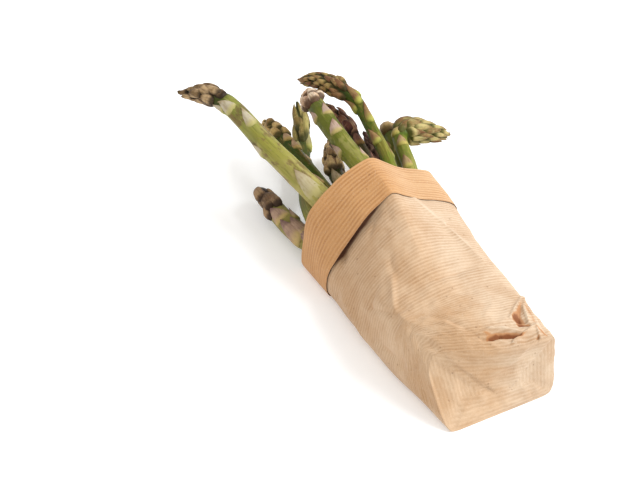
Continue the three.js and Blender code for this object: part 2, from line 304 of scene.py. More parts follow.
# The bag across X, from the middle of the underside round by +Y: (y, z) of the outermost paper.
bagOutlines = {
    -84: [(0, 0), (28, 0), (35, 3.5), (35.5, 18), (31.5, 34.5), (16, 41),
          (0, 42), (-18, 42.5), (-36.5, 42), (-38, 22), (-37, 4.5), (-29, 0)],
    -60: [(0, 0), (30, 0), (38, 4.5), (39, 20), (34.5, 40), (18, 48),
          (2, 49.5), (-18, 48), (-37.5, 43), (-40, 22), (-38, 4.5), (-30, 0)],
    -28: [(0, 0), (34, 0), (42.5, 4.5), (42.5, 22), (38.5, 42), (20, 49),
          (2, 51), (-18, 49.5), (-38.5, 43), (-41, 22), (-39, 4.5), (-31, 0)],
    13: [(0, 0), (35, 0), (44.5, 5.5), (44, 22), (37, 40.5), (18.5, 54),
         (0, 58.5), (-20.5, 53), (-40.5, 43.5), (-43, 22), (-41, 4.5), (-33, 0)],
    52: [(0, 0), (36.5, 0), (45.5, 4), (45.5, 20.5), (35, 39), (16.5, 61),
         (-1, 70), (-19, 61), (-45, 46), (-46.5, 23), (-44.5, 4), (-34.5, 0)],
    84: [(0, 0), (37.5, 0), (47.5, 4.5), (46, 27.5), (40.5, 50), (21.5, 67),
         (-2, 74.5), (-23, 63), (-44, 51), (-46.5, 26), (-44.5, 4), (-34.5, 0)],
}

# Folds in the wall: from (x, round) to (x, round), height, reach on either side of the line, or
# one reach where both are alike.
# "round" is the distance round the bag from its top, positive towards +Y.
wallFolds = [
    (84, 3, 40, 2, 1.4, 9),
    (40, 2, 8, 5, 1.2, 9),
    (48, -16, 28, -25, 1.6, 4, 5),
    (28, -25, -8, -33, 1.3, 4, 6),
    (-20, 40, 4, 27, 1.7, 3.5, 5),
    (-20, 40, 1, 53, -1.4, 4),
    (-22, 38, -52, 36, 1.8, 5, 7),
    (-20, 41, -22, 29, -1.2, 3),
    (2, 52, 5, 40, -1.3, 4, 3),
    (4, 27, 16, 22, -1.1, 5, 4),
    (44, 22, 40, 27, -0.9, 3),
    (-12, 9, -14, -9, -1.3, 5, 8),
    (-14, -9, -11, -24, -1.1, 5, 7),
    (-28, 12, -34, -8, 0.8, 8, 5),
    (-72, 3, -69.5, -6, 2, 2.4, 3.4),
    (-69.5, -6, -71, -14, 2.4, 2.4, 3.4),
    (-71, -14, -75.5, -24, 2.4, 2.4, 3.4),
    (-76, 3, -74.5, -9, -2.4, 2.4, 2),
    (-74.5, -9, -77.5, -21, -3, 2.4, 2.2),
    (-44, -43, -62, -23, 1.5, 2.2, 2.6),
    (-56, -33, -66, -27, -1.6, 3.5, 3),
    (-64, -25, -68, -30, -2, 3),
    (-69.5, -25.5, -71.5, -31.5, -2.2, 1.8),
    (-45, -44, -56, -36, 1.6, 2, 2.2),
    (-56, -36, -69, -32.5, 1.8, 2, 2.2),
    (-52, -46, -80, -39, -1.8, 3, 5),
    (-73.5, -34.5, -80.5, -15, 2.8, 1.6, 4),
    (-73, -36, -83, -33, 1.4, 1.8, 2.2),
    (-50, 20, -66, 8, -1.2, 5, 6),
    (-60, 44, -76, 30, 1.4, 4, 6),
    (-56, 62, -74, 50, -1.4, 5),
    (-30, -60, -62, -78, 1.4, 6),
    (20, -62, -14, -80, -1.3, 7),
    (30, 66, -6, 82, 1.3, 7),
    (-6, 70, -44, 62, -1.3, 6),
    (-40, -50, -70, -56, -1.6, 5),
]

# Painted shade where the paper is folded sharply, and pale lines on ridges, partly wear and partly
# painted highlight: as the folds, with how dark (negative) or how pale in place of the height.
foldShade = [
    (-50, -37.5, -63, -27, -2, 4),
    (-59.5, -26, -66.5, -27.5, -3.8, 4.2),
    (-68.5, -24.8, -71.8, -31.4, -4.6, 1.9),
    (-60.2, -24.6, -63, -25, -2, 1),
    (-74, -33.8, -78.5, -22.1, -2, 0.8),
    (-75.1, -2, -75.8, -8, -2.4, 1),
    (-71.5, 1, -72, -4, -2.6, 2.6),
    (-74.6, -1, -73.7, -7, -3, 1.8),
    (-73.7, -7, -75.2, -14, -3.6, 2.8),
    (-75.2, -14, -77.2, -22, -4.2, 3),
    (-77, -28, -80, -22, -1.5, 4.5),
    (-54, -39.5, -73, -36, -1.7, 2.6),
    (-56, -35.5, -68, -32, 2, 1.2),
    (-76.5, -24.5, -81, -15.5, -3, 1.3),
    (-81.2, -33.6, -83.2, -30.6, -3, 1.3),
    (-74, -34.6, -83, -38.4, -3.4, 1.8),
    (-44, -42.5, -62, -23, 1.8, 1.4),
    (-76.5, 1, -78, -8, 1.6, 1.2),
    (-78, -8, -82, -16, 1.6, 1.2),
    (48, -15, 26, -25, 1.2, 1.6),
    (26, -25, 4, -31, 1, 1.6),
]

# Folds of the closed end, as for the wall, by (y, z).
endFolds = [
    (-36, 41, -17, 22, -0.7, 3, 5),
    (31, 33, 14, 19, -0.7, 3, 5),
    (-35, 3, -22, 15, -0.6, 3, 5),
    (33, 4, 20, 15, -0.6, 3, 5),
    (-14, 34, 6, 24, 0.9, 4, 6),
]

# Hollows of the wall: x and the reach along it, distance round and the reach there, depth.
wallHollows = [(50, 6, 21, 8, 2.2), (50, 5, 34, 16, 1.2), (48, 4.2, 46, 3.6, 2.0),
               (-20, 9, 40, 9, 0.8)]


def outlinesAt(x):
    # each control point runs along X on a cubic through the outlines; x is a list of places
    places = np.array(sorted(bagOutlines), float)
    table = np.array([bagOutlines[int(p)] for p in places], float)
    slopes = np.gradient(table, places, axis=0)
    k = np.clip(np.searchsorted(places, x, side="right") - 1, 0, len(places) - 2)
    width = (places[k + 1] - places[k])[:, None, None]
    t = (x - places[k])[:, None, None] / width
    start, end = table[k], table[k + 1]
    return (start * (2 * t ** 3 - 3 * t ** 2 + 1) + slopes[k] * width * (t ** 3 - 2 * t ** 2 + t)
            + end * (3 * t ** 2 - 2 * t ** 3) + slopes[k + 1] * width * (t ** 3 - t ** 2))


def closedCurve(controls, u):
    # a closed Catmull-Rom curve through the control points of each row, and its slope
    count = controls.shape[-2]
    place = (u % 1.0) * count
    i = np.floor(place).astype(int)
    near = [controls[..., (i + k) % count, :] for k in (-1, 0, 1, 2)]
    return cubic(*near, (place - i)[:, None])


def spacedColumns(columns):
    # curve parameters spread round the bag, closer together at its crushed corner, their
    # distance from its top, and the whole way round
    fine = np.linspace(0, 1, 4001)
    length = distanceAlong(closedCurve(outlinesAt(np.array([paper["ringX"]])), fine)[0][0])
    more, where, reach = paper["crowding"]
    density = 1 + more * bell(((0.5 - fine) * length[-1] - where) / reach)
    grown = join([0], np.cumsum(density[1:])) / density[1:].sum()
    chosen = np.interp(np.arange(columns) / columns, grown, fine)
    return np.interp(chosen, length / length[-1], fine), (0.5 - chosen) * length[-1], length[-1]


def foldHeight(x, around, folds):
    # each fold is its height times a tent, 1 on its line and 0 at its reach on either side, raised
    # to a power that thins it, and a little lower towards the line's ends
    total = 0.0
    for x0, a0, x1, a1, height, *reaches in folds:
        dx, da = x1 - x0, a1 - a0
        t = np.clip(((x - x0) * dx + (around - a0) * da) / (dx * dx + da * da), 0, 1)
        offX, offA = x - x0 - t * dx, around - a0 - t * da
        reach = np.where(offX * da - offA * dx > 0, reaches[0], reaches[-1])
        tent = np.clip(1 - np.hypot(offX, offA) / reach, 0, 1)
        total = total + height * tent ** 1.4 * (1 - 0.35 * np.abs(2 * t - 1) ** 2)
    return total


def pressed(relief, x, around, hollows):
    # the relief less each hollow's depth times a bell over x and the distance round
    for x0, reachX, a0, reachA, depth in hollows:
        relief = relief - depth * bell((x - x0) / reachX, (around - a0) / reachA)
    return relief


def crumple(x, around, size, seed):
    # a constant less the size of smooth noise, at two scales: creases where the noise crosses
    # nought, with flat facets between them
    a = softNoise(x / size + 7.3, around / size + 3.1, seed)
    b = softNoise(x / (size * 0.55) + 1.7, around / (size * 0.55) + 9.2, seed + 1)
    return 0.34 - np.abs(a) + 0.45 * (0.3 - np.abs(b))


def wallCreases(x, around):
    # folds, and crumples at two sizes that grow towards the closed end
    least, most, *reach = paper["crush"]
    crushed = mix(least, most, ease(*reach, x))
    creases = foldHeight(x, around, wallFolds) + crushed * crumple(x, around, *paper["crumple"])
    creases = creases + 0.3 * crushed * crumple(x, around, *paper["fineCrumple"])
    return pressed(creases, x, around, [paper["nick"]])


def slowWaves(x, around):
    # smooth noise, a little longer along the bag than round it
    return softNoise(x / 26, around / 20, 11)


def wallRelief(x, around, z):
    # height of the wall above its smooth outline: creases, waves, and hollows under the hem
    relief = wallCreases(x, around) + paper["waves"] * slowWaves(x, around)
    relief, most = pressed(relief, x, around, wallHollows), paper["mostRelief"][0]
    relief = np.where(relief > 0, most * np.tanh(relief / most), relief)
    return relief * ease(*paper["floorFade"], z)


def fromHem(x):
    # 0 at the cuff's hem and before it, 1 at the mouth
    return np.clip((x - paper["hemX"]) / (paper["mouthX"] - paper["hemX"]), 0, 1)


def cuffRelief(x, around, z):
    # the cuff follows the wall's large folds and stands off it along part of the hem
    off = paper["hemLift"] * (1 - fromHem(x)) ** 1.5 * bell((around - 36) / 20)
    waves = 0.5 * slowWaves(x, around) + 0.25 * softNoise(x / 17, around / 9, 12)
    crumples = 0.3 * crumple(x, around, *paper["crumple"])
    relief = foldHeight(x, around, wallFolds[:1]) + crumples + waves + off
    return np.minimum(relief, paper["mostRelief"][1]) * ease(*paper["floorFade"], z)


def rimShift(around):
    # the mouth is cut a little shorter towards -Y, and dips a little on the other side
    return -paper["mouthCut"] * ease(2, -14, around) - paper["mouthDip"] * bell((around - 30) / 14)


def hemShift(x, around):
    # the hem hangs a little lower over the wall towards +Y
    return -paper["hemDrop"] * bell((around - 38) / 20) * (1 - fromHem(x)) ** 2


def leanAt(y):
    # how far the closed end leans per mm of height: a power of y from the least to the most
    low, high, least, most, power = paper["endLean"]
    return mix(least, most, np.clip((y - low) / (high - low), 0, 1) ** power)


def flapEdge(y):
    # height of the upper flap's edge on the end face, a straight line in y
    return paper["flapEdge"] + paper["flapSlope"] * y


def wallInset(x):
    # under the cuff the wall lies in from the outline by the cuff's thickness and the gap
    return ease(*paper["stepIn"], x) * (paper["thickness"] + mix(*paper["gap"], fromHem(x)))


def bagRows():
    # the sheet's section is followed from the outer wall round the cuff and back inside:
    # x, inset from the outline, distance along the sheet, 0 wall or 1 cuff, 0 outer or 1 inner
    t, rim, mouth, hem = (paper[name] for name in ("thickness", "rim", "mouthX", "hemX"))
    counts, (crushedTo, bodyFrom, bodyTo, mouthFrom) = paper["rows"], paper["rowEnds"]
    outer = join(np.linspace(paper["closedX"], crushedTo, counts["crushed"]),
                 np.linspace(bodyFrom, bodyTo, counts["body"]),
                 np.linspace(mouthFrom, mouth - 2 * rim, counts["mouth"]))
    under = np.linspace(mouth - 1.0, hem, counts["under"])
    cuff = np.linspace(hem, mouth - rim, counts["cuff"])
    inner = np.linspace(mouth - rim, paper["closedX"] + t, counts["inner"])
    bend = np.linspace(0, math.pi, 7)[1:-1]
    bendInset = (wallInset(mouth) + t) / 2
    rows = [
        (outer, wallInset(outer), outer, 0, 0),
        (under, t, 2 * mouth - under, 1, 0),
        (cuff, 0, 2 * mouth - cuff, 1, 1),
        (mouth - rim + rim * np.sin(bend), bendInset - bendInset * np.cos(bend), mouth, 1, 1),
        (inner, wallInset(inner) + t, inner, 0, 1),
    ]
    spread = [[np.broadcast_to(value, row[0].shape) for value in row] for row in rows]
    return [join(*values)[:, None] for values in zip(*spread)]


def endCap(ring, baseX, sizes):
    # the end face: its edge ring drawn in towards the middle, and pressed in there; the lower
    # flap is folded up over the side flaps, and the upper one down over it
    ringX, ringY, ringZ = ring.T
    size = sizes[:, None]
    y, z = (m + (edge - m) * size for m, edge in zip(ring[:, 1:].mean(axis=0), (ringY, ringZ)))
    inside = 1 - size
    push = paper["endDish"] * ease(0, 0.7, inside)
    crumples = crumple(y, z, *paper["endCrumple"]) * ease(0, 0.2, inside)
    push = push - paper["endCrumpling"] * crumples
    side = ringY.max() - np.abs(y - ringY.mean())
    upper, lower = (ease(0.3, -0.3, np.minimum(a, side) - side + 1) for a in (ringZ.max() - z, z))
    upperLift, lowerLift = paper["flapLift"]
    flap = upperLift * ease(-0.4, 0.4, z - flapEdge(y)) * upper
    flap = flap + lowerLift * lower * ease(0.4, -0.4, z - flapEdge(y))
    folds = foldHeight(y, z, endFolds) + flap
    edge = ringX - (baseX + leanAt(ringY) * ringZ)
    x = baseX + leanAt(y) * z + edge * size ** 3 + push - folds * ease(0, 0.12, inside)
    return together(x, y, z)


def buildBag(material):
    # rows along the sheet, columns round it: the outline's point at the row's x, moved out by
    # its relief less its inset, and leaned at the closed end by its height
    u, around, perimeter = spacedColumns(paper["columns"])
    turn = 2 * math.pi * (0.5 - around / perimeter)
    x, inset, along, isCuff, isInner = bagRows()
    section, slope = closedCurve(outlinesAt(x[:, 0]), u)
    around = np.broadcast_to(around, section.shape[:2])
    wide, steep = (ease(*reach, x) for reach in paper["mouthReach"])
    shift = rimShift(around) * wide + 0.5 * softNoise(around / 14, 0 * around, 3)
    xs = x + shift * steep + hemShift(x, around) * isCuff
    z = section[..., 1]
    onCuff = cuffRelief(xs, around, z)
    onWall = mix(wallRelief(xs, around, z), onCuff, ease(*paper["cuffTakes"], x))
    relief = np.where(isCuff > 0, onCuff, onWall)
    # the inner face has fewer rows, so it stays below the deepest place nearby
    inside = ((isInner > 0) & (isCuff == 0))[:, 0]
    near = [wallRelief(xs[inside] + dx, around[inside] + da, z[inside])
            for dx in (-4.0, -2.0, 0.0, 2.0, 4.0) for da in (-2.4, 0.0, 2.4)]
    deeper = mix(np.min(near, axis=0), relief[inside], ease(*paper["innerFree"], x[inside]))
    relief[inside] = np.minimum(relief[inside], deeper)
    outward = unit(together(slope[..., 1], -slope[..., 0]))
    section = section + outward * (relief - inset)[..., None]
    y, z = section[..., 0], np.maximum(section[..., 1], inset)
    soft = np.clip(1 - (x - paper["closedX"]) / paper["endSoftness"], 0, 1)
    body = together(xs + leanAt(y) * soft * z, y, z)

    sizes = join(np.linspace(0.99, 0.9, 6), np.linspace(0.87, 0.08, 24))
    fewSizes = np.array([0.98, 0.94, 0.87, 0.76, 0.6, 0.4, 0.2, 0.08])
    outerCap = endCap(body[0], paper["closedX"], sizes)[::-1]
    innerCap = endCap(body[-1], paper["closedX"] + paper["innerEnd"], fewSizes)
    rings = join(outerCap, body, innerCap)
    poles = np.stack([outerCap[0].mean(axis=0), innerCap[-1].mean(axis=0)])
    quads, triangles = tubeFaces(len(rings), len(u))

    def everyPoint(cap, rows, inside, poles):
        # values for the outer end face, the sheet's rows, the inner end face and the poles
        groups = [(cap, len(sizes)), (rows, len(x)), (inside, len(fewSizes))]
        return join(*(np.broadcast_to(values, (count, len(u))).ravel() for values, count in groups),
                    poles)

    # a straightened sheet: round it as a cylinder, along it as far as the paper has run
    radius = perimeter / (2 * math.pi)
    onEnd = [paper["closedX"] - (1 - size) * paper["endRun"] for size in (sizes[::-1], fewSizes)]
    run = join(onEnd[0], along[:, 0], onEnd[1])[:, None]
    width = join(sizes[::-1], np.ones(len(x)), fewSizes)[:, None]
    sheetPoles = [[0, 0, paper["closedX"] - paper["endRun"] - 2]] * 2
    # creases are paler on their ridges, partly wear and partly painted highlight, and painted shade
    # lies in their hollows
    wearAndPaintedLight = 0.6 * wallCreases(xs, around) + foldHeight(xs, around, foldShade)
    crease = np.where((isCuff == 0) & (isInner == 0), wearAndPaintedLight, 0.4)
    crease = crease + 0.5 * isCuff * crumple(xs, around, *paper["crumple"])
    capY, capZ = outerCap[..., 1], outerCap[..., 2]
    capCrease = foldHeight(capY, capZ, endFolds) + 0.3
    capCrease = capCrease + 0.6 * crumple(capY, capZ, *paper["endCrumple"])
    # painted shade: the cuff's underside, and the wall from just outside the hem inwards, reaching
    # further out where the hem hangs low
    behind = x - paper["hemX"] - hemShift(paper["hemX"], around) * 1.5
    hemShade = (ease(0.5, 1.8, behind) * (isCuff == 0) + (isCuff > 0)) * (isInner == 0)
    layers = {
        "sheet": join(unrolled(radius * width, turn, run), sheetPoles) * mm,
        "inner": everyPoint(0, isInner, 1, (0, 1)),
        "cuff": everyPoint(0, isCuff * isInner, 0, (0, 0)),
        "hemShade": everyPoint(0, hemShade, 0, (0, 0)),
        "endFace": everyPoint(1, 0, 0, (1, 0)),
        "crease": everyPoint(capCrease, crease, 0.4, (0.4, 0.4)),
    }
    points = join(rings.reshape(-1, 3), poles)
    piece = makePiece("paperBag", points, quads, triangles, [material], layers)
    piece.data.set_sharp_from_angle(angle=math.radians(60))
    return piece


kraft = {
    "wall": fromHex("#dbb68e"),
    "wallDeep": fromHex("#a87848"),
    # painted light: the wall's and the cuff's colours on the side towards -Y, where the key light
    # falls
    "wallLitSide": fromHex("#dec4a6"),
    "cuff": fromHex("#dca66c"),
    "cuffDeep": fromHex("#ac7038"),
    "cuffLitSide": fromHex("#dfb88a"),
    "inside": fromHex("#b5824f"),
    # pale wear and grain, and painted highlight on crease ridges
    "wearAndPaintedLight": fromHex("#ecd8bd"),
    # painted shade in the creases' hollows, shallow and then deep
    "shallowShade": fromHex("#c07c3c"),
    "shade": fromHex("#86481a"),
    # painted shade under the cuff and just outside its hem
    "gap": fromHex("#58290a"),
    "speck": fromHex("#7a4f2c"),
    "ribPitch": (0.0023, 0.0025),  # on the wall and on the cuff, as the next two
    "ribDepth": (0.62, 0.66),
    "cloudDepth": (0.26, 0.16),
}


def kraftPaper():
    # ribs are a sine of the distance along the sheet, a little wandering, fainter on creases;
    # over them lie clouds, fibres, grain, pale crease ridges that are partly wear and partly
    # painted highlight, painted shade in the creases' hollows and under the cuff's hem, specks, and
    # a paler painted light on the side towards -Y, where the key light falls
    g = Graph("kraftPaper")
    sheet, place = g.vector("sheet"), g.place()
    cuff, inner, crease = g.numbers("cuff", "inner", "crease")
    endFace, hemShade = g.numbers("endFace", "hemShade")
    # on the end face the ribs run along the edge that each flap was folded from
    y, z = g.parts(place)[1:]
    top, halfWidth, middle = (size * mm for size in paper["endSize"])
    upper = g.maths("GREATER_THAN", z - y * paper["flapSlope"], paper["flapEdge"] * mm)
    fromEdge = g.maths("MINIMUM", (top - z) * upper + z * (1 - upper), halfWidth - abs(y - middle))
    along = g.parts(sheet)[2] * (1 - endFace) - fromEdge * endFace
    wander = (g.noise(sheet, 30) - 0.5) * 3
    turns = g.between(cuff, 0, 1, *[2 * math.pi / pitch for pitch in kraft["ribPitch"]])
    strength = g.between(g.noise(sheet, 45, 3, along=5), 0.3, 0.7, 0.35, 1)
    ribs = (g.maths("SINE", along * turns + wander) * 0.5 + 0.5) * strength
    ribs = ribs * (1 - endFace * 0.4) * g.between(abs(crease), 0.9, 2, 1, 0.25)
    fibres = g.noise(sheet, 420, 3, 0.6, along=6)
    cloud = g.between(g.noise(sheet, 38, 3, 0.6), 0.32, 0.68)
    grain = g.noise(place, 1400)
    dots = g.node("TexVoronoi", {"feature": "F1"}, {"Vector": sheet, "Scale": 115})
    # painted light: the side towards -Y, which faces the key light, is painted paler
    litSide = g.between(y, 0.004, -0.014, 0, 0.75)
    light = g.blend(g.blend(kraft["wall"], kraft["wallLitSide"], litSide),
                    g.blend(kraft["cuff"], kraft["cuffLitSide"], litSide), cuff)
    deep = g.blend(kraft["wallDeep"], kraft["cuffDeep"], cuff)
    colour = g.over(
        light,
        (kraft["inside"], inner * (1 - cuff)),
        (deep, ribs * g.between(cuff, 0, 1, *kraft["ribDepth"])),
        (deep, cloud * g.between(cuff, 0, 1, *kraft["cloudDepth"])),
        (kraft["wearAndPaintedLight"], (1 - cloud) * (1 - cuff) * 0.22),
        (deep, g.between(fibres, 0.45, 0.8, 0, 0.35)),
        (kraft["wearAndPaintedLight"], g.between(grain, 0.5, 0.8, 0, 0.3)),
        # crease ridges paler, partly wear and partly painted highlight; their hollows get painted
        # shade
        (kraft["wearAndPaintedLight"], g.between(crease, 0.7, 2.4, 0, 0.6)),
        (kraft["shallowShade"], g.between(crease, -0.4, -1.7, 0, 0.7)),
        (kraft["shade"], g.between(crease, -1.5, -3.8, 0, 0.85)),
        (kraft["speck"], g.between(dots, 0.05, 0.09, 1, 0) * 0.45),
        # painted shade under the cuff and just outside its hem
        (kraft["gap"], hemShade * 0.95),
    )
    constants = {"Specular IOR Level": 0.3, "Sheen Weight": 0.08, "Sheen Roughness": 0.6}
    return g.finish(colour, 0.62 + fibres * 0.2, constants,
                    (ribs * -0.6 + fibres * 0.35, 0.6, 0.00025))


bag = buildBag(kraftPaper())
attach(bag, "root")
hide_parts("paper_bag")
print("bag:", len(bag.data.polygons), "faces")

